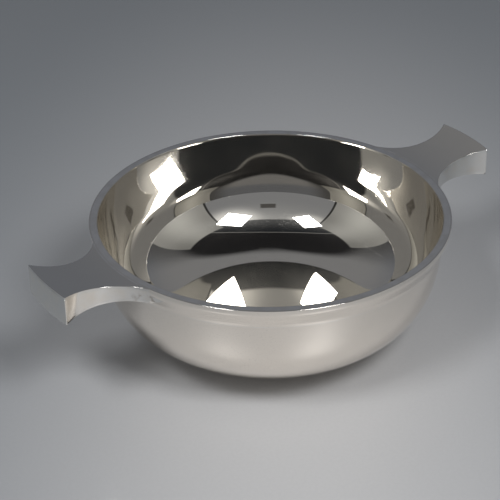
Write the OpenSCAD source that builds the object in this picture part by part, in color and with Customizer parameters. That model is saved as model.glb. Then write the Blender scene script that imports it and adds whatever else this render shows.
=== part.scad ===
// Two-lugged silver drinking bowl, soldered up from raised sheet, wire and strip.
// The origin is the middle of the foot's base, with +Z up and the lugs along X. Sizes are in mm.

/* [Bowl] */
// Diameter over the rim
rim_d = 114; // [104:1:120]
// Depth of the inside, from the rim to the middle of the floor
bowl_depth = 40.1; // [39:0.1:41]
// Thickness of the raised sheet
sheet = 0.8; // [0.7:0.05:1.2]
// Lean of the wall from upright at the lip, in degrees
wall_lean = 2.6; // [1.8:0.1:4]
// Inside radius of the wall's gentle curve
wall_r = 136; // [110:1:155]
// Lean of the wall where it starts to turn in, in degrees
shoulder_lean = 8.1; // [7:0.1:9.2]
// Inside radius of the slow turn below the wall
shoulder_r = 58; // [45:1:75]
// Inside radius of the tight turn below that
corner_r = 25.4; // [24:0.2:27]
// Slope at which the tight turn opens out, in degrees from level
haunch_slope = 33; // [28:1:42]
// Inside radius of the wider turn towards the floor
haunch_r = 30; // [28:0.5:33]
// Inside radius of the dished floor
floor_r = 220; // [180:5:300]

/* [Rim wire] */
// Width of the flat rim, sheet and wire together
rim_w = 2.6; // [2.2:0.1:3.2]
// Height of the wire's upright outer face
rim_face = 1.4; // [1.2:0.1:1.8]
// Depth over which the wire tapers into the wall
rim_taper = 5.6; // [4.6:0.1:7]
// Thickness of the wire's lower edge
rim_edge = 0.2; // [0.15:0.05:0.4]
// Rounding of the rim's outer top edge
rim_round = 0.4; // [0.2:0.1:0.6]

/* [Foot] */
// Diameter of the foot at its base
foot_d = 47; // [40:1:54]
// Height of the floor's lowest point above the table
foot_lift = 1.6; // [1.2:0.1:3]
// Width of the foot's flat base
foot_base = 2; // [1.6:0.1:2.6]
// Thickness of the foot's wall above the base
foot_wall = 1.2; // [0.9:0.1:1.5]

/* [Lugs] */
// Length of a lug, from the rim to the middle of its end
lug_len = 23.25; // [20:0.25:28]
// Distance of the waist from the rim
waist_out = 12.5; // [11:0.25:14]
// Width of the waist
waist_w = 16.7; // [14:0.1:20]
// Rise of the top at the lug's end, above the rim
lug_rise = 3.5; // [1:0.1:5]
// Depth of the lug where it meets the rim
lug_depth = 5; // [4.2:0.1:5.6]
// Drop of the underside at the lug's end, below its root
lug_drop = 1.25; // [0.5:0.05:2.5]
// Thickness of the lug's plates and strips
lug_sheet = 1; // [0.8:0.05:1.1]

/* [Hidden] */
$fa = 2;
$fs = 0.2;
silver = [0.78, 0.77, 0.75];

rim_r = rim_d / 2;
mouth_r = rim_r - rim_w;
rim_z = foot_lift + sheet + bowl_depth;

// Centres of the five arcs of the bowl's inside, each of which touches the next
wall_c = [mouth_r - wall_r * cos(wall_lean), rim_z + wall_r * sin(wall_lean)];
shoulder_c = wall_c + (wall_r - shoulder_r) * [cos(shoulder_lean), -sin(shoulder_lean)];
floor_c = [0, rim_z - bowl_depth + floor_r];
haunch_turn = haunch_slope - 90;
turn_shift = (corner_r - haunch_r) * [cos(haunch_turn), sin(haunch_turn)];
aim = floor_c - turn_shift;
span = norm(aim - shoulder_c);
span_u = (aim - shoulder_c) / span;
along = (pow(shoulder_r - corner_r, 2) - pow(floor_r - haunch_r, 2) + pow(span, 2)) / (2 * span);
aside = sqrt(pow(shoulder_r - corner_r, 2) - pow(along, 2));
corner_c = shoulder_c + along * span_u + aside * [span_u.y, -span_u.x];
haunch_c = corner_c + turn_shift;
corner_turn = atan2(corner_c.y - shoulder_c.y, corner_c.x - shoulder_c.x);
floor_turn = atan2(haunch_c.y - floor_c.y, haunch_c.x);
rim_steps = 6;
wall_steps = 6;
shoulder_steps = 4;
corner_steps = 14;
haunch_steps = 12;
floor_steps = 8;

// Turn of the wall's arc at a depth below the rim, and the radius there, grown outwards by a thickness
function wall_turn(grow, depth) = -asin((wall_c.y - rim_z + depth) / (wall_r + grow));
function wall_x(grow, depth) = wall_c.x + (wall_r + grow) * cos(wall_turn(grow, depth));
rim_low = rim_face + rim_taper;
taper_r = wall_x(sheet, rim_low) + rim_edge;

// Radii of the arcs that the lug's top and underside follow along X
lug_reach = rim_r + lug_len;
lug_run = lug_reach - mouth_r;
rise_r = (pow(lug_run, 2) + pow(lug_rise, 2)) / (2 * lug_rise);
drop_r = (pow(lug_run, 2) + pow(lug_drop, 2)) / (2 * lug_drop);

// Circle that sweeps in each side of the lug: a little more than touching the rim, so that it meets it
sweep_past = 1.037;
waist_x = rim_r + waist_out;
waist_y = waist_w / 2;
sweep_r = sweep_past * (pow(waist_x, 2) + pow(waist_y, 2) - pow(rim_r, 2)) / (2 * (rim_r - waist_y));
sweep_c = [waist_x, waist_y + sweep_r];
sweep_u = sweep_c / norm(sweep_c);
root_along = (pow(norm(sweep_c), 2) + pow(rim_r, 2) - pow(sweep_r, 2)) / (2 * norm(sweep_c));
root_y = root_along * sweep_u.y - sqrt(pow(rim_r, 2) - pow(root_along, 2)) * sweep_u.x;
root_blunt = 0.3;
root_end = root_y - root_blunt;

// Points along an arc, from one angle to another
function arc(centre, r, from, to, steps, first = 0) =
    [for (i = [first : steps]) let (a = from + (to - from) * i / steps) centre + r * [cos(a), sin(a)]];

// The part of the wall's curve that the rim wire covers
function rim_curve(grow) =
    arc(wall_c, wall_r + grow, wall_turn(grow, 0), wall_turn(grow, rim_low), rim_steps);

// Outline of the bowl's inside from the rim to the middle of the floor, grown outwards by a thickness
function bowl_curve(grow) = concat(
    rim_curve(grow),
    arc(wall_c, wall_r + grow, wall_turn(grow, rim_low), -shoulder_lean, wall_steps, 1),
    arc(shoulder_c, shoulder_r + grow, -shoulder_lean, corner_turn, shoulder_steps, 1),
    arc(corner_c, corner_r + grow, corner_turn, haunch_turn, corner_steps, 1),
    arc(haunch_c, haunch_r + grow, haunch_turn, floor_turn, haunch_steps, 1),
    arc(floor_c, floor_r + grow, floor_turn, -90, floor_steps, 1)
);

module bowl() {
    inside = bowl_curve(0);
    color(silver)
    rotate_extrude()
    polygon(concat(bowl_curve(sheet), [for (i = [len(inside) - 1 : -1 : 0]) inside[i]]));
}

module rim_wire() {
    round_c = [rim_r - rim_round, rim_z - rim_round];
    color(silver)
    rotate_extrude()
    polygon(concat(
        rim_curve(sheet),
        [[taper_r, rim_z - rim_low], [rim_r, rim_z - rim_face]],
        arc(round_c, rim_round, 0, 90, 6)
    ));
}

// The foot's ring runs up until the outside of the bowl trims it
module foot_ring() {
    base_r = foot_d / 2;
    neck_r = base_r - (foot_base - foot_wall);
    inner_r = base_r - foot_base;
    color(silver)
    difference() {
        rotate_extrude()
        polygon([
            [inner_r, 0],
            [base_r, 0],
            [base_r, foot_wall / 2],
            [neck_r, foot_wall],
            [neck_r, rim_z / 2],
            [inner_r, rim_z / 2]
        ]);
        rotate_extrude() polygon(concat(bowl_curve(sheet), [[0, rim_z]]));
    }
}

// The circles that sweep in the lug's two sides, grown by a thickness
module sweeps(grow) {
    for (side = [-1, 1]) translate([waist_x, side * sweep_c.y]) circle(sweep_r + grow);
}

// A band along X that holds the right-hand lug, from one Y to another
module lug_band(y0, y1) {
    translate([mouth_r - rim_w, y0]) square([lug_reach, y1 - y0]);
}

// Plan of the right-hand lug
module lug_plan() {
    difference() {
        intersection() {
            circle(lug_reach);
            lug_band(-root_end, root_end);
        }
        sweeps(0);
    }
}

// A bar across the lug, whose surface is an arc along X
module cross_bar(z, r) {
    translate([mouth_r, 0, z]) rotate([90, 0, 0]) cylinder(r = r, h = rim_d, center = true, $fn = 720);
}

// What the lugs are fitted against: the rim wire's outer face, filled in
module rim_body() {
    translate([0, 0, rim_z - rim_low]) cylinder(r1 = taper_r, r2 = rim_r, h = rim_taper);
    translate([0, 0, rim_z - rim_face]) cylinder(r = rim_r, h = rim_face + 2 * lug_rise);
}

// A block that stands on a plan through the lug's whole height, with its root cut to fit the rim
module lug_block() {
    low = lug_depth + 2 * lug_drop;
    difference() {
        translate([0, 0, rim_z - low]) linear_extrude(low + 2 * lug_rise) children();
        rim_body();
    }
}

module lug_top() {
    color(silver)
    difference() {
        intersection() {
            lug_block() lug_plan();
            cross_bar(rim_z + rise_r, rise_r + lug_sheet);
        }
        cross_bar(rim_z + rise_r, rise_r);
    }
}

module lug_under() {
    color(silver)
    difference() {
        intersection() {
            lug_block() lug_plan();
            cross_bar(rim_z - lug_depth - drop_r, drop_r + lug_sheet);
        }
        cross_bar(rim_z - lug_depth - drop_r, drop_r);
    }
}

// An upright piece of the lug, between the top plate and the under plate
module lug_upright() {
    color(silver)
    difference() {
        lug_block() children();
        cross_bar(rim_z + rise_r, rise_r + lug_sheet);
        cross_bar(rim_z - lug_depth - drop_r, drop_r + lug_sheet);
    }
}

// Strip along one side of the lug: side is -1 in front and 1 behind
module lug_strip(side) {
    lug_upright()
    difference() {
        intersection() {
            sweeps(lug_sheet);
            circle(lug_reach - lug_sheet);
            lug_band(min(0, side * root_end), max(0, side * root_end));
        }
        sweeps(0);
    }
}

module lug_end() {
    lug_upright()
    difference() {
        lug_plan();
        circle(lug_reach - lug_sheet);
    }
}

bowl();
rim_wire();
foot_ring();
lug_top();  // right_lug_top
lug_strip(-1);  // right_lug_front_strip
lug_strip(1);  // right_lug_back_strip
lug_end();  // right_lug_end
lug_under();  // right_lug_under
mirror([1, 0, 0]) lug_top();  // left_lug_top
mirror([1, 0, 0]) lug_strip(-1);  // left_lug_front_strip
mirror([1, 0, 0]) lug_strip(1);  // left_lug_back_strip
mirror([1, 0, 0]) lug_end();  // left_lug_end
mirror([1, 0, 0]) lug_under();  // left_lug_under
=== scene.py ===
from math import acos, asin, atan2, cos, degrees, pi, radians, sin, sqrt

import bmesh
import bpy
from mathutils import Matrix, Vector


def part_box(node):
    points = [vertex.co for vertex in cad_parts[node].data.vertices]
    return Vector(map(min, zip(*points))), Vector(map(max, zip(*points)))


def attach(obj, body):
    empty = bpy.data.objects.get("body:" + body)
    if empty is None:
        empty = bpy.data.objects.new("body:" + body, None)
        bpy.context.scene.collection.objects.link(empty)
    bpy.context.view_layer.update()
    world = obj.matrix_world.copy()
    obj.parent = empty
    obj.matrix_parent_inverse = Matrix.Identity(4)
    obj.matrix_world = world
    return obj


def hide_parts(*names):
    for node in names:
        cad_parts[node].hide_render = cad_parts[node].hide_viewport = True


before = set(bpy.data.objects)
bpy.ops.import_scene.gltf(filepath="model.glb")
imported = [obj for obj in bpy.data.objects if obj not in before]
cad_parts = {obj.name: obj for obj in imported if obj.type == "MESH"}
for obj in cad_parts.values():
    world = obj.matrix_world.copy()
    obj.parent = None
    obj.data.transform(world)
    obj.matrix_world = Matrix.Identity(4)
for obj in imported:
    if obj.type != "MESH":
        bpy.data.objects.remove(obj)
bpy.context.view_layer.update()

scene = bpy.context.scene
scene.view_settings.view_transform = "Standard"
scene.cycles.max_bounces = 16  # light crosses the polished bowl many times
scene.cycles.glossy_bounces = 14
mm = 0.001  # pieces are drawn in millimetres and scaled once, when they are finished
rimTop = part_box("rim_wire")[1].z / mm
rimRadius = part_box("rim_wire")[1].x / mm
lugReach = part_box("right_lug_end")[1].x / mm
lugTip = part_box("right_lug_top")[1].z / mm
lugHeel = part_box("right_lug_under")[0].z / mm
print("frame loaded:", len(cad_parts), "nodes, rim", round(rimRadius, 2), "by", round(rimTop, 2), "mm")


# camera, as the photograph was taken
cameraSet = {
    "place": (-0.26516, -0.39227, 0.27132 + rimTop * mm),
    "azimuth": -33.2656,
    "elevation": 31.0331,
    "roll": -1.0178,
    "lens": 124.694,
    "sensor": 36,
    "clip": 0.01,
}


def makeCamera(s):
    camera = bpy.data.objects.new("camera", bpy.data.cameras.new("camera"))
    scene.collection.objects.link(camera)
    turn = Matrix.Rotation(radians(s["azimuth"]), 4, "Z")
    lean = Matrix.Rotation(radians(90 - s["elevation"]), 4, "X")
    roll = Matrix.Rotation(radians(s["roll"]), 4, "Z")
    camera.matrix_world = Matrix.Translation(s["place"]) @ (turn @ lean) @ roll
    camera.data.lens = s["lens"]
    camera.data.sensor_width = s["sensor"]
    camera.data.clip_start = s["clip"]
    scene.camera = camera
    print("camera set,", s["lens"], "mm lens")


makeCamera(cameraSet)


# a node socket that takes part in sums, so that shader maths reads as maths
class Wire:
    def __init__(self, tree, socket=None):
        self.tree = tree
        self.socket = socket

    def add(self, kind, settings=None, inputs=None, out=0):
        node = self.tree.nodes.new(kind)
        for name, value in (settings or {}).items():
            setattr(node, name, value)
        for name, value in (inputs or {}).items():
            if isinstance(value, Wire):
                self.tree.links.new(value.socket, node.inputs[name])
            else:
                node.inputs[name].default_value = value
        return Wire(self.tree, node.outputs[out] if node.outputs else None)

    def maths(self, operation, *values):
        return self.add("ShaderNodeMath", {"operation": operation}, dict(enumerate(values)))

    def __add__(self, other):
        return self.maths("ADD", self, other)

    def __sub__(self, other):
        return self.maths("SUBTRACT", self, other)

    def __rsub__(self, other):
        return self.maths("SUBTRACT", other, self)

    def __mul__(self, other):
        return self.maths("MULTIPLY", self, other)

    def __truediv__(self, other):
        return self.maths("DIVIDE", self, other)

    __radd__ = __add__
    __rmul__ = __mul__

    def vector(self, operation, *values, out=0):
        return self.add("ShaderNodeVectorMath", {"operation": operation}, dict(enumerate(values)), out)

    def size(self):
        return self.maths("ABSOLUTE", self)

    def split(self):
        node = self.add("ShaderNodeSeparateXYZ", None, {0: self}).socket.node
        return [Wire(self.tree, socket) for socket in node.outputs]

    def ease(self, low, high, fromValue=0.0, toValue=1.0):
        return self.add("ShaderNodeMapRange", {"interpolation_type": "SMOOTHSTEP"}, {
            0: self, 1: low, 2: high, 3: fromValue, 4: toValue})

    def blend(self, dark, light):
        return self.add("ShaderNodeMix", {"data_type": "RGBA"}, {0: self, 6: dark, 7: light}, out=2)

    def noise(self, vector, scale, detail=2.0, rough=0.5):
        return self.add("ShaderNodeTexNoise", None, {
            "Vector": vector, "Scale": scale, "Detail": detail, "Roughness": rough})


# the studio: a pale tent round the table with a dark opening overhead, and two soft lamps in front
tentSet = {  # bearings are in degrees round from the front, heights in degrees above the rim
    "facing": -145.94,  # direction of the tent's front, from +Y towards +X
    "overhead": (0.013, 0.013, 0.014),
    "canopy": (0.014, 0.016, 0.019),  # above the front panel, up to the beam
    "beam": {  # a straight bar across the front
        "tone": (0.22, 0.22, 0.215), "bearing": 3.0, "height": 73.9, "half": 0.2, "blur": 0.3,
    },
    "gap": {
        "tone": (0.075, 0.072, 0.07), "bearing": -1.5, "height": 32.4, "wide": 6.0, "tall": 3.2,
        "edge": (0.85, 1.1),
    },
    # panels, each the same on the left and the right, that change in tone between two heights
    "heights": (20, 50),
    "crisp": 0.8,  # softness of a panel's upper edge
    "front": {"tone": (0.215, 0.22, 0.232), "upper": (0.275, 0.28, 0.285), "tops": (53.2, 51), "level": 4},
    "side": {
        "from": 47.9, "to": 100.5, "tone": (0.29, 0.29, 0.28), "bright": (0.49, 0.493, 0.472),
        "middle": 73, "wide": 24, "dim": 0.3, "top": 53.8, "step": 2, "blur": 0.3,
    },
    "back": {
        "near": (0.07, 0.071, 0.074), "tone": (0.135, 0.144, 0.166), "upper": (0.2, 0.203, 0.213),
        "clear": 131, "tops": (41, 77.2), "between": (66, 172), "soft": 6,
    },
    "seam": {"tone": (0.03, 0.03, 0.03), "half": 0.6, "blur": 0.5, "margin": 1.3},
}
lampSet = {  # sides in metres, and how far in degrees the front panel glows round the lamp
    "softBoxRight": {
        "bearing": -35.6, "height": 48.8, "distance": 0.65, "sides": (0.197, 0.197), "twist": 45,
        "radiance": 15.0, "glow": (0.75, 0.75, 0.74), "spread": (8, 32), "falloff": 3,
    },
    "softBoxLeft": {
        "bearing": 38.4, "height": 52.3, "distance": 0.65, "sides": (0.194, 0.133), "twist": -40,
        "radiance": 15.0, "glow": (0.6, 0.6, 0.59), "spread": (8, 20), "falloff": 3,
    },
}
floorSet = {  # a painted pool of light: pale round its middle, and painted shade further out where the light falls off
    "half": 4.0, "paintedLight": (0.612, 0.612, 0.62), "paintedShade": (0.292, 0.311, 0.335),
    "middle": (-0.019, -0.0472), "across": 0.093, "along": 0.24, "fade": 1.7, "rough": 0.34,
    "grain": 900, "grainFrom": (0.35, 0.65), "grainTone": (0.2, 0.2, 0.2), "grainShare": 0.03,
}


def towards(facing, bearing, height):
    turn, rise = radians(facing + bearing), radians(height)
    return Vector((sin(turn) * cos(rise), cos(turn) * cos(rise), sin(rise)))


def opaque(colour):
    return (*colour, 1)


def emptyTree(owner):
    owner.use_nodes = True
    owner.node_tree.nodes.clear()
    return Wire(owner.node_tree)


def makeTent(s, lamps):
    scene.world = bpy.data.worlds.new("tent")
    start = emptyTree(scene.world)
    way = start.add("ShaderNodeTexCoord", None, None, "Generated")
    x, y, z = way.split()
    facing = radians(s["facing"])
    ahead = x * sin(facing) + y * cos(facing)
    aside = x * cos(facing) - y * sin(facing)
    bearing = start.maths("ARCTAN2", aside, ahead) * (180 / pi)
    height = start.maths("ARCSINE", z) * (180 / pi)
    turn, lift = bearing.size(), height.ease(*s["heights"])
    front, side, back, seam, gap, beam = [s[k] for k in ("front", "side", "back", "seam", "gap", "beam")]
    corner, blur = side["from"], seam["blur"]

    panel = lift.blend(opaque(front["tone"]), opaque(front["upper"]))
    swell = (turn - side["middle"]).size().ease(0, side["wide"], 1, 0)
    flank = swell.blend(opaque(side["tone"]), opaque(side["bright"]))
    flank = (lift * side["dim"]).blend(flank, (0, 0, 0, 1))
    panel = turn.ease(corner - blur, corner + blur).blend(panel, flank)
    room = lift.blend(opaque(back["tone"]), opaque(back["upper"]))
    room = turn.ease(side["to"], back["clear"]).blend(opaque(back["near"]), room)
    behind = turn.ease(side["to"] - side["blur"], side["to"] + side["blur"])
    panel = behind.blend(panel, room)
    line = (turn - corner).size().ease(seam["half"], seam["half"] + blur, 1, 0)
    panel = line.blend(panel, opaque(seam["tone"]))
    inFront = turn.ease(corner - seam["margin"], corner - blur, 1, 0)
    for lamp in lamps.values():
        away = way.vector("DOT_PRODUCT", way, towards(s["facing"], lamp["bearing"], lamp["height"]), out=1)
        away = start.maths("ARCCOSINE", away) * (180 / pi)
        glow = start.maths("POWER", away.ease(*lamp["spread"], 1, 0), lamp["falloff"])
        panel = (glow * inFront).blend(panel, opaque(lamp["glow"]))
    across, up = (bearing - gap["bearing"]) / gap["wide"], (height - gap["height"]) / gap["tall"]
    outside = start.maths("MAXIMUM", across.size(), up.size())
    panel = outside.ease(*gap["edge"], 1, 0).blend(panel, opaque(gap["tone"]))

    # upper edge of the panels, and what is above it
    top = turn.ease(0, corner - front["level"], *front["tops"])
    top = top + turn.ease(corner - side["step"], corner + side["step"]) * (side["top"] - top)
    top = top + behind * (turn.ease(*back["between"], *back["tops"]) - top)
    soft = behind * back["soft"] + s["crisp"]
    beamWay = towards(s["facing"] + 180, beam["bearing"], 90 - beam["height"])
    over = way.vector("DOT_PRODUCT", way, beamWay, out=1) * (180 / pi)
    above = over.ease(-beam["blur"], beam["blur"]).blend(opaque(s["canopy"]), opaque(s["overhead"]))
    bar = over.size().ease(beam["half"], beam["half"] + beam["blur"], 1, 0)
    above = bar.blend(above, opaque(beam["tone"]))
    light = height.ease(top - soft, top + soft, 1, 0).blend(above, panel)
    shown = start.add("ShaderNodeBackground", None, {"Color": light, "Strength": 1.0})
    start.add("ShaderNodeOutputWorld", None, {"Surface": shown})
    print("tent painted")


def makeLamps(lamps, facing):
    for name, s in lamps.items():
        way = towards(facing, s["bearing"], s["height"])
        lamp = bpy.data.lights.new(name, "AREA")
        lamp.shape = "RECTANGLE"
        lamp.size, lamp.size_y = s["sides"]
        lamp.energy = s["radiance"] * pi * lamp.size * lamp.size_y
        holder = bpy.data.objects.new(name, lamp)
        facingIn = way.to_track_quat("Z", "Y").to_matrix().to_4x4()
        place = Matrix.Translation(way * s["distance"] + Vector((0, 0, rimTop * mm)))
        holder.matrix_world = place @ facingIn @ Matrix.Rotation(radians(s["twist"]), 4, "Z")
        scene.collection.objects.link(holder)
    print("lamps hung:", len(lamps))


def makeFloor(s, facing):
    bm = bmesh.new()
    bmesh.ops.create_grid(bm, x_segments=4, y_segments=4, size=s["half"])
    mesh = bpy.data.meshes.new("floor")
    bm.to_mesh(mesh)
    bm.free()
    floor = bpy.data.objects.new("floor", mesh)
    scene.collection.objects.link(floor)
    material = bpy.data.materials.new("paleFloor")
    start = emptyTree(material)
    place = start.add("ShaderNodeTexCoord", None, None, "Object")
    x, y, _ = place.split()
    east, north = x - s["middle"][0], y - s["middle"][1]
    aim = radians(facing + 180)
    along = (east * sin(aim) + north * cos(aim)) / s["along"]
    across = (east * cos(aim) - north * sin(aim)) / s["across"]
    far = start.maths("SQRT", along * along + across * across)
    # painted light: the floor's colour is lightest in the middle and painted darker further out
    colour = far.ease(0, s["fade"]).blend(opaque(s["paintedLight"]), opaque(s["paintedShade"]))
    grain = start.noise(place, s["grain"], 3.0).ease(*s["grainFrom"], s["grainShare"], 0)
    colour = grain.blend(colour, opaque(s["grainTone"]))
    shader = start.add("ShaderNodeBsdfPrincipled", None, {"Base Color": colour, "Roughness": s["rough"]})
    start.add("ShaderNodeOutputMaterial", None, {"Surface": shader})
    mesh.materials.append(material)
    print("floor laid")


makeTent(tentSet, lampSet)
makeLamps(lampSet, tentSet["facing"])
makeFloor(floorSet, tentSet["facing"])


# finishes: polished silver, with what the buff, the cloth and the solder leave on it, and lighter copies
# whose brighter tints paint in light
# haze adds to the roughness; the veil is scratches too fine to be seen, floorVeil times as thick low down,
# and turned says how far they run round the axis; seam is a soldered seam's radius and its stains' reach
bowlFinish = {
    "tint": (0.8, 0.77, 0.715), "rough": 0.008, "haze": 0.014, "veil": 0.024, "floorVeil": 1.2, "hair": 0.12,
    "wave": 0.00003, "waveScale": 55, "turned": 0.85,
    "seam": (0.0232, 0.0025), "seamTop": 0.0027, "seamSoft": 0.0003, "stain": 0.7,
}
# painted light: the outside is a lighter copy of the bowl's silver, its brighter tint standing in for light
outsideLighterFinish = {**bowlFinish, "tint": (0.92, 0.86, 0.785), "rough": 0.03, "wave": 0.00001, "turned": 0.0}
rimFinish = {
    "tint": (0.8, 0.77, 0.72), "rough": 0.03, "haze": 0.03, "veil": 0.036, "floorVeil": 1.0, "hair": 0.1,
    "wave": 0.000004, "waveScale": 90, "turned": 0.5,
    "seam": (0.055, 0.0008), "seamTop": 0.037, "seamSoft": 0.0016, "stain": 0.2,
}
lugFinish = {
    "tint": (0.8, 0.77, 0.715), "rough": 0.025, "haze": 0.03, "veil": 0.036, "floorVeil": 1.0, "hair": 0.04,
    "wave": 0.000006, "waveScale": 110, "turned": 0.0,
    "seam": (0.0555, 0.0062), "seamTop": 0.0396, "seamSoft": 0.0014, "stain": 0.75,
}
# painted light: the side strips are a lighter, warmer copy of the lug's silver, painted to stand in for the
# warm light they reflect
stripLighterFinish = {**lugFinish, "tint": (0.88, 0.815, 0.73), "haze": 0.015}
# painted light: the end plate is a much lighter copy of the lug's silver, its tint painted brighter to stand
# in for light
endLighterFinish = {**lugFinish, "tint": (0.97, 0.92, 0.84), "rough": 0.06, "veil": 0.1, "wave": 0.000003}
footFinish = {
    "tint": (0.78, 0.75, 0.695), "rough": 0.09, "haze": 0.08, "veil": 0.1, "floorVeil": 1.0, "hair": 0.2,
    "wave": 0.00001, "waveScale": 110, "turned": 0.5,
    "seam": (0.0222, 0.0014), "seamTop": 0.0034, "seamSoft": 0.0004, "stain": 0.6,
}
hairSet = [  # the ways in which the hairlines run, and how fine they are across and along
    {"turn": (0.3, 0.2, 0.5), "fine": (2600, 140, 2600)},
    {"turn": (1.2, 0.4, 1.9), "fine": (3100, 170, 3100)},
    {"turn": (0.7, 1.5, 2.7), "fine": (2200, 110, 2200)},
]
silverSet = {  # for every finish: scales of noise, and the values at which each mark begins and is full
    "cloud": 60.0, "cloudTint": (0.35, 0.75), "cloudShade": 0.98, "cloudHaze": (0.3, 0.7),
    "hair": (0.62, 0.74), "patch": 38.0, "patchFrom": (0.42, 0.66),
    "lineDepth": 0.0000008, "lineStrength": 0.6,
    "stain": 420.0, "stainFrom": (0.5, 0.68), "stainTone": (0.3, 0.215, 0.14), "stainRough": 0.3,
    "worn": 260.0, "wornAngle": (0.1, 0.36), "wornFrom": (0.25, 0.7, 0.25, 1),
    "wornTone": (0.9, 0.885, 0.855), "wornRough": 0.06,
    "veilFrom": (0.3, 0.75, 0.6, 1.4), "veilRough": 0.3, "veilFloor": (0.012, 0.026),
    "waveFrom": (0.013, 0.004, 0),
}


def polishedSilver(name, s, every=silverSet):
    material = bpy.data.materials.new(name)
    start = emptyTree(material)
    place = start.add("ShaderNodeTexCoord", None, None, "Object")
    x, y, z = place.split()
    radius = start.maths("SQRT", x * x + y * y)
    cloud = start.noise(place, every["cloud"], 3.0)
    hair = 0
    for line in hairSet:
        way = start.add("ShaderNodeMapping", None, {
            "Vector": place, "Rotation": line["turn"], "Scale": line["fine"]})
        hair = start.maths("MAXIMUM", hair, start.noise(way, 1.0, 2.0).ease(*every["hair"]))
    hair = hair * start.noise(place, every["patch"], 2.0).ease(*every["patchFrom"])
    # stains of the solder
    near = (radius - s["seam"][0]).size().ease(0, s["seam"][1], 1, 0)
    near = near * z.ease(s["seamTop"], s["seamTop"] + s["seamSoft"], 1, 0)
    stain = near * start.noise(place, every["stain"], 4.0, 0.62).ease(*every["stainFrom"]) * s["stain"]
    # wear, on the edges that finishPiece has marked
    edge = start.add("ShaderNodeAttribute", {"attribute_name": "edge"}, None, "Fac")
    worn = edge.ease(*every["wornAngle"]) * start.noise(place, every["worn"], 2.0).ease(*every["wornFrom"])
    shaded = [every["cloudShade"] * part for part in s["tint"]]
    colour = cloud.ease(*every["cloudTint"]).blend(opaque(s["tint"]), opaque(shaded))
    colour = worn.blend(colour, opaque(every["wornTone"]))
    colour = stain.blend(colour, opaque(every["stainTone"]))
    rough = cloud.ease(*every["cloudHaze"]) * s["haze"] + s["rough"]
    rough = rough + stain * every["stainRough"] + worn * every["wornRough"]
    moved = start.add("ShaderNodeMapping", None, {"Vector": place, "Location": every["waveFrom"]})
    waves = start.noise(moved, s["waveScale"], 1.0)
    swell = start.add("ShaderNodeBump", None, {"Strength": 1.0, "Distance": s["wave"], "Height": waves})
    lines = start.add("ShaderNodeBump", None, {
        "Strength": every["lineStrength"], "Distance": every["lineDepth"], "Height": hair, "Normal": swell})
    veil = cloud.ease(*every["veilFrom"]) * z.ease(*every["veilFloor"], s["floorVeil"], 1) * s["veil"]
    clear = start.add("ShaderNodeBsdfPrincipled", None, {
        "Base Color": colour, "Metallic": 1.0, "Roughness": rough, "Normal": lines})
    veiled = start.add("ShaderNodeBsdfPrincipled", None, {
        "Base Color": colour, "Metallic": 1.0, "Roughness": every["veilRough"], "Anisotropic": s["turned"]})
    mixed = start.add("ShaderNodeMixShader", None, {0: veil + hair * s["hair"], 1: clear, 2: veiled})
    start.add("ShaderNodeOutputMaterial", None, {"Surface": mixed})
    return material


bowlSilver = polishedSilver("bowlSilver", bowlFinish)
outsideLighterSilver = polishedSilver("outsideLighterSilver", outsideLighterFinish)
rimSilver = polishedSilver("rimSilver", rimFinish)
lugSilver = polishedSilver("lugSilver", lugFinish)
stripLighterSilver = polishedSilver("stripLighterSilver", stripLighterFinish)
endLighterSilver = polishedSilver("endLighterSilver", endLighterFinish)
footSilver = polishedSilver("footSilver", footFinish)
print("silver mixed")


# shared steps of the modelling
def lineTo(bm, vert, x, z, steps=1):
    begin = vert.co.copy()
    for step in range(1, steps + 1):
        vert = bmesh.ops.extrude_vert_indiv(bm, verts=[vert])["verts"][0]
        vert.co = begin.lerp(Vector((x, 0, z)), step / steps)
    return vert


def turnBy(bm, vert, centre, angle, steps):
    made = bmesh.ops.spin(bm, geom=[vert], cent=(centre[0], 0, centre[1]), axis=(0, -1, 0),
                          angle=radians(angle), steps=steps)
    return [v for v in made["geom_last"] if isinstance(v, bmesh.types.BMVert)][0]


def spinRound(bm, steps):
    bmesh.ops.spin(bm, geom=bm.verts[:] + bm.edges[:], cent=(0, 0, 0), axis=(0, 0, 1),
                   angle=2 * pi, steps=steps, use_merge=True)


def bevelEdges(bm, edges, width, segments):
    bmesh.ops.bevel(bm, geom=edges, offset=width, segments=segments, profile=0.5,
                    affect="EDGES", material=-1, clamp_overlap=True)


def finishPiece(bm, name, node, material, sharpAngle=35, merge=0.0005):
    bmesh.ops.remove_doubles(bm, verts=bm.verts, dist=merge)
    bmesh.ops.recalc_face_normals(bm, faces=bm.faces)
    edge = bm.verts.layers.float.new("edge")  # how sharply the surface turns, for the wear on its edges
    for vert in bm.verts:
        vert[edge] = max(abs(e.calc_face_angle(0)) for e in vert.link_edges)
    bmesh.ops.scale(bm, vec=(mm, mm, mm), verts=bm.verts)
    mesh = bpy.data.meshes.new(name)
    bm.to_mesh(mesh)
    bm.free()
    mesh.shade_smooth()
    mesh.set_sharp_from_angle(angle=radians(sharpAngle))
    mesh.materials.append(material)
    piece = bpy.data.objects.new(name, mesh)
    scene.collection.objects.link(piece)
    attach(piece, "root")
    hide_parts(node)
    print("made", name, len(mesh.polygons), "faces")
    return piece


# bowl, raised from one sheet: a dished floor, a turn that opens out upwards and a gently curved wall
bowlSizes = {
    "mouth": 54.4, "depth": 40.1, "sheet": 0.8, "lean": 2.6, "wall": 136.0, "shoulderLean": 8.1,
    "shoulder": 58.0, "corner": 25.4, "haunchSlope": 33.0, "haunch": 30.0, "floor": 220.0, "lipRound": 0.15,
    "holdEdge": 0.08,  # a narrow face beside a round, which keeps the flat's shading flat
    "steps": {"floor": 20, "haunch": 20, "corner": 28, "shoulder": 8, "wall": 16, "lip": 5, "round": 320},
}


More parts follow.
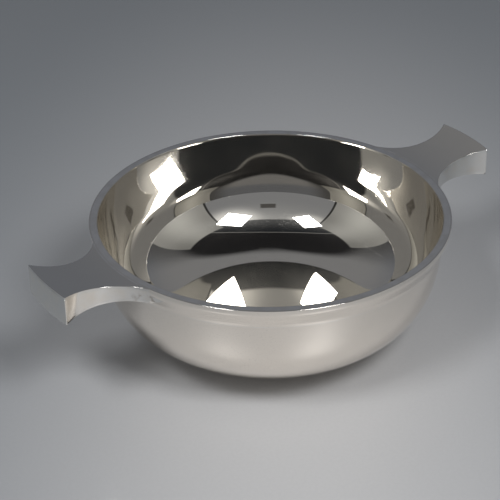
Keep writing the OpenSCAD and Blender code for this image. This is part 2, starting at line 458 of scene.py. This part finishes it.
def bowlCentres(s):
    lean, turn, meet = radians(s["lean"]), radians(s["shoulderLean"]), radians(s["haunchSlope"])
    wallCentre = Vector((s["mouth"] - s["wall"] * cos(lean), rimTop + s["wall"] * sin(lean)))
    shoulderCentre = wallCentre + (s["wall"] - s["shoulder"]) * Vector((cos(turn), -sin(turn)))
    floorCentre = Vector((0, rimTop - s["depth"] + s["floor"]))
    shift = (s["corner"] - s["haunch"]) * Vector((sin(meet), -cos(meet)))
    near, far = s["shoulder"] - s["corner"], s["floor"] - s["haunch"]
    span = floorCentre - shift - shoulderCentre
    along = (near ** 2 - far ** 2 + span.length_squared) / (2 * span.length)
    span.normalize()
    aside = sqrt(near ** 2 - along ** 2) * Vector((span.y, -span.x))
    cornerCentre = shoulderCentre + along * span + aside
    return wallCentre, shoulderCentre, cornerCentre, cornerCentre + shift, floorCentre


wallCentre, shoulderCentre, cornerCentre, haunchCentre, floorCentre = bowlCentres(bowlSizes)
wallOuter = bowlSizes["wall"] + bowlSizes["sheet"]


def wallLean(depth):
    return asin((wallCentre.y - rimTop + depth) / wallOuter)


def wallRadius(depth):
    return wallCentre.x + wallOuter * cos(wallLean(depth))


def paintOutsideLighter(piece):  # faces that look outwards or down take the outside's lighter silver, a copy with its colour painted brighter to stand in for light
    piece.data.materials.append(outsideLighterSilver)
    for face in piece.data.polygons:
        outward = face.normal.xy.dot(face.center.xy) / max(face.center.xy.length, 1e-6)
        down = face.normal.z < (0 if outward > 0 else -0.5)
        face.material_index = int(outward > 0.7 or down)


def makeBowl(s):
    toCorner, toHaunch = cornerCentre - shoulderCentre, haunchCentre - floorCentre
    floorTurn = 90 + degrees(atan2(toHaunch.y, toHaunch.x))
    haunchTurn = s["haunchSlope"] - floorTurn
    cornerTurn = 90 - s["haunchSlope"] + degrees(atan2(toCorner.y, toCorner.x))
    shoulderTurn = 90 - s["haunchSlope"] - cornerTurn - s["shoulderLean"]
    lip, steps = s["lipRound"], s["steps"]
    lipDown = wallCentre.y - rimTop + lip
    lipTurn = -degrees(asin(lipDown / (s["wall"] + lip)))
    lipCentre = (wallCentre.x + sqrt((s["wall"] + lip) ** 2 - lipDown ** 2), rimTop - lip)
    bm = bmesh.new()
    # the inside, from the middle of the floor up to the lip
    point = bm.verts.new((0, 0, floorCentre.y - s["floor"]))
    point = turnBy(bm, point, floorCentre, floorTurn, steps["floor"])
    point = turnBy(bm, point, haunchCentre, haunchTurn, steps["haunch"])
    point = turnBy(bm, point, cornerCentre, cornerTurn, steps["corner"])
    point = turnBy(bm, point, shoulderCentre, shoulderTurn, steps["shoulder"])
    point = turnBy(bm, point, wallCentre, lipTurn + s["shoulderLean"], steps["wall"])
    point = turnBy(bm, point, lipCentre, -90 - lipTurn, steps["lip"])
    point = lineTo(bm, point, point.co.x + s["holdEdge"], rimTop)
    point = lineTo(bm, point, wallRadius(0), rimTop)
    # and the outside, back down
    point = turnBy(bm, point, wallCentre, degrees(wallLean(0)) - s["shoulderLean"], steps["wall"])
    point = turnBy(bm, point, shoulderCentre, -shoulderTurn, steps["shoulder"])
    point = turnBy(bm, point, cornerCentre, -cornerTurn, steps["corner"])
    point = turnBy(bm, point, haunchCentre, -haunchTurn, steps["haunch"])
    turnBy(bm, point, floorCentre, -floorTurn, steps["floor"])
    spinRound(bm, steps["round"])
    paintOutsideLighter(finishPiece(bm, "bowl_shell", "bowl", bowlSilver))


makeBowl(bowlSizes)


# rim wire, soldered round the lip and filed down into the wall
rimSizes = {
    "topRound": 0.15, "upright": 1.0, "shoulder": 3.0, "hollow": 5.0, "taper": 26.0, "holdEdge": 0.08,
    "steps": {"edge": 6, "shoulder": 10, "run": 4, "hollow": 10, "round": 320},
}


def makeRim(s):
    taper, edge, steps = radians(s["taper"]), s["topRound"], s["steps"]
    bm = bmesh.new()
    first = bm.verts.new((wallRadius(0), 0, rimTop))
    point = lineTo(bm, first, rimRadius - edge - s["holdEdge"], rimTop)
    point = lineTo(bm, point, rimRadius - edge, rimTop)
    point = turnBy(bm, point, (rimRadius - edge, rimTop - edge), -90, steps["edge"])
    point = lineTo(bm, point, rimRadius, rimTop - edge - s["holdEdge"])
    point = lineTo(bm, point, rimRadius, rimTop - s["upright"])
    shoulder = (rimRadius - s["shoulder"], rimTop - s["upright"])
    point = turnBy(bm, point, shoulder, -s["taper"], steps["shoulder"])
    # the straight run is as long as it takes for the hollow to end along the wall
    depth = 7.0  # a first guess, which a few rounds put right
    for _ in range(8):
        lean = wallLean(depth)
        run = (point.co.x - s["hollow"] * (cos(lean) - cos(taper)) - wallRadius(depth)) / sin(taper)
        depth = rimTop - point.co.z + run * cos(taper) + s["hollow"] * (sin(taper) - sin(lean))
    point = lineTo(bm, point, point.co.x - run * sin(taper), point.co.z - run * cos(taper), steps["run"])
    centre = (point.co.x + s["hollow"] * cos(taper), point.co.z - s["hollow"] * sin(taper))
    point = turnBy(bm, point, centre, s["taper"] - degrees(lean), steps["hollow"])
    print("rim wire ends", round(depth, 2), "mm below the lip")
    bm.edges.new((point, first))
    spinRound(bm, steps["round"])
    paintOutsideLighter(finishPiece(bm, "rim_band", "rim_wire", rimSilver))


makeRim(rimSizes)


# foot ring, a low moulded wire under the floor
footSizes = {
    "outside": 23.5, "inside": 21.5, "neck": 22.7, "edge": 0.4, "bead": 0.55, "slope": 65.0,
    "hollow": 0.6, "fillet": 0.45, "sunk": 0.08,
    "bend": 6, "round": 160,  # steps of each bend and round the axis
}


def makeFoot(s):
    outerFloor = bowlSizes["floor"] + bowlSizes["sheet"]

    def underside(radius):
        return floorCentre.y - sqrt(outerFloor ** 2 - radius ** 2)

    slope, edge = radians(s["slope"]), s["edge"]
    bm = bmesh.new()
    first = bm.verts.new((s["inside"], 0, underside(s["inside"]) + s["sunk"]))
    point = lineTo(bm, first, s["inside"], edge, 3)
    point = turnBy(bm, point, (s["inside"] + edge, edge), 90, s["bend"])
    point = lineTo(bm, point, s["outside"] - edge, 0)
    point = turnBy(bm, point, (s["outside"] - edge, edge), 90, s["bend"])
    point = lineTo(bm, point, s["outside"], s["bead"])
    point = turnBy(bm, point, (s["outside"] - edge, s["bead"]), s["slope"], s["bend"])
    run = (point.co.x - s["neck"] - s["hollow"] * (1 - cos(slope))) / sin(slope)
    point = lineTo(bm, point, point.co.x - run * sin(slope), point.co.z + run * cos(slope))
    centre = (point.co.x + s["hollow"] * cos(slope), point.co.z + s["hollow"] * sin(slope))
    point = turnBy(bm, point, centre, -s["slope"], s["bend"])
    filletTurn = 90 - degrees(asin(s["neck"] / outerFloor))
    filletTop = underside(s["neck"] + s["fillet"]) - s["fillet"] * sin(radians(filletTurn))
    point = lineTo(bm, point, s["neck"], filletTop, 2)
    point = turnBy(bm, point, (s["neck"] + s["fillet"], filletTop), -filletTurn, s["bend"])
    point = lineTo(bm, point, s["neck"], underside(s["neck"]) + s["sunk"])
    bm.edges.new((point, first))
    spinRound(bm, s["round"])
    finishPiece(bm, "foot_wire", "foot_ring", footSilver)


makeFoot(footSizes)


# lugs: a top plate, an under plate, two swept side strips and an end plate, all soldered edge to edge
lugSizes = {
    "waistOut": 12.5, "waistWidth": 16.7, "sweepPast": 1.037, "depth": 5.0, "sheet": 1.0,
    "edge": 0.25, "corner": 0.5, "bite": 55.2, "tuck": 0.02,
    "rootLift": 2.3, "rootTurn": 0.1, "tailTurn": 0.24,  # the strips' filed tails, turns in radians
    "along": 56, "across": 40, "through": 4, "bevel": 4,  # steps
    "sharp": 50, "clear": 0.2, "onEnd": 0.01, "touching": 0.001,  # which edges are rounded
}


def lugShape(s):
    mouth = bowlSizes["mouth"]
    reach, rise = lugReach - mouth, lugTip - rimTop
    drop = rimTop - s["depth"] - lugHeel
    riseRadius = (reach ** 2 + rise ** 2) / (2 * rise)
    dropRadius = (reach ** 2 + drop ** 2) / (2 * drop)
    waistX, waistY = rimRadius + s["waistOut"], s["waistWidth"] / 2
    sweep = s["sweepPast"] * (waistX ** 2 + waistY ** 2 - rimRadius ** 2) / (2 * (rimRadius - waistY))
    sweepCentre = Vector((waistX, waistY + sweep))
    lean, far = atan2(sweepCentre.y, sweepCentre.x), sweepCentre.length

    def halfAngle(radius):
        fit = max(radius, rimRadius)
        angle = lean - acos((fit ** 2 + far ** 2 - sweep ** 2) / (2 * fit * far))
        return angle if radius >= rimRadius else asin(rimRadius * sin(angle) / radius)

    def sweepPoint(part, inward):  # a tail along the rim, then the sweep out to the end plate
        radius, last = sweep + inward * s["sheet"], lugReach - s["sheet"]
        turn = acos((far ** 2 + radius ** 2 - last ** 2) / (2 * far * radius))
        turn = part * (turn + s["tailTurn"]) - s["tailTurn"]
        near = max(0, (s["rootTurn"] - turn) / (s["rootTurn"] + s["tailTurn"]))
        lift = s["rootLift"] * near * near * (3 - 2 * near)
        if turn > 0:
            return sweepCentre + radius * Vector((cos(lean + pi + turn), sin(lean + pi + turn))), lift
        along = lean - turn * sweep / (far - sweep)
        return (far - radius) * Vector((cos(along), sin(along))), lift

    def top(x):
        return rimTop + riseRadius - sqrt(riseRadius ** 2 - (x - mouth) ** 2)

    def under(x):
        return rimTop - s["depth"] - dropRadius + sqrt(dropRadius ** 2 - (x - mouth) ** 2)

    return halfAngle, sweepPoint, top, under


halfAngle, sweepPoint, lugTopAt, lugUnderAt = lugShape(lugSizes)


def closeBelow(bm, lowAt):
    made = bmesh.ops.extrude_face_region(bm, geom=bm.faces[:])["geom"]
    for vert in made:
        if isinstance(vert, bmesh.types.BMVert):
            vert.co.z = lowAt(vert)
    bmesh.ops.recalc_face_normals(bm, faces=bm.faces)


def lugBlock(radii, low, high, along, across):
    bm = bmesh.new()
    bmesh.ops.create_grid(bm, x_segments=along, y_segments=across, size=1)
    for vert in bm.verts:
        radius = radii[0] + (radii[1] - radii[0]) * (vert.co.x + 1) / 2
        angle = vert.co.y * halfAngle(radius)
        vert.co = (radius * cos(angle), radius * sin(angle), 0)
        vert.co.z = high(vert.co.x)
    closeBelow(bm, lambda vert: low(vert.co.x))
    return bm


def stripBlock(back, low, high, along):
    bm = bmesh.new()
    bmesh.ops.create_grid(bm, x_segments=along, y_segments=2, size=1)
    lifts = bm.verts.layers.float.new("lift")  # the extruded vertices get it too
    for vert in bm.verts:
        point, vert[lifts] = sweepPoint((vert.co.x + 1) / 2, (vert.co.y + 1) / 2)
        vert.co = (point.x, back * point.y, high(point.x))
    closeBelow(bm, lambda vert: low(vert.co.x) + vert[lifts])
    bm.verts.layers.float.remove(lifts)
    return bm


def sharpEdges(bm, s):
    bm.normal_update()
    return [e for e in bm.edges if e.calc_face_angle(0) > radians(s["sharp"])]


def roundTip(bm, s):  # the upright corners at the end
    tips = [e for e in sharpEdges(bm, s)
            if all(v.co.xy.length > lugReach - s["onEnd"] for v in e.verts)
            and (e.verts[0].co.xy - e.verts[1].co.xy).length < s["touching"]]
    bevelEdges(bm, tips, s["corner"], s["bevel"])


def roundBrim(bm, s, surface):  # the edge of a plate, clear of the rim
    brim = [e for e in sharpEdges(bm, s)
            if all(abs(v.co.z - surface(v.co.x)) < s["touching"] for v in e.verts)
            and any(v.co.xy.length > rimRadius + s["clear"] for v in e.verts)]
    bevelEdges(bm, brim, s["edge"], s["bevel"])


def makeLug(side, s):
    name = "right" if side > 0 else "left"
    sheet = s["sheet"]

    def belowTop(x):
        return lugTopAt(x) - sheet

    def aboveUnder(x):
        return lugUnderAt(x) + sheet

    def finish(bm, part, silver=lugSilver):
        bmesh.ops.scale(bm, vec=(side, 1, 1), verts=bm.verts)
        finishPiece(bm, name + "_lug_" + part + "_sheet", name + "_lug_" + part, silver)

    plate = lugBlock((rimRadius - s["tuck"], lugReach), belowTop, lugTopAt, s["along"], s["across"])
    roundTip(plate, s)
    roundBrim(plate, s, lugTopAt)
    finish(plate, "top")
    plate = lugBlock((s["bite"], lugReach), lugUnderAt, aboveUnder, s["along"], s["across"])
    roundTip(plate, s)
    roundBrim(plate, s, lugUnderAt)
    finish(plate, "under")
    plate = lugBlock((lugReach - sheet, lugReach), aboveUnder, belowTop, s["through"], s["across"])
    roundTip(plate, s)
    # the end plate and the side strips take the lighter copies of the silver, painted brighter
    finish(plate, "end", endLighterSilver)
    finish(stripBlock(-1, aboveUnder, belowTop, s["along"]), "front_strip", stripLighterSilver)
    finish(stripBlock(1, aboveUnder, belowTop, s["along"]), "back_strip", stripLighterSilver)


makeLug(1, lugSizes)
makeLug(-1, lugSizes)
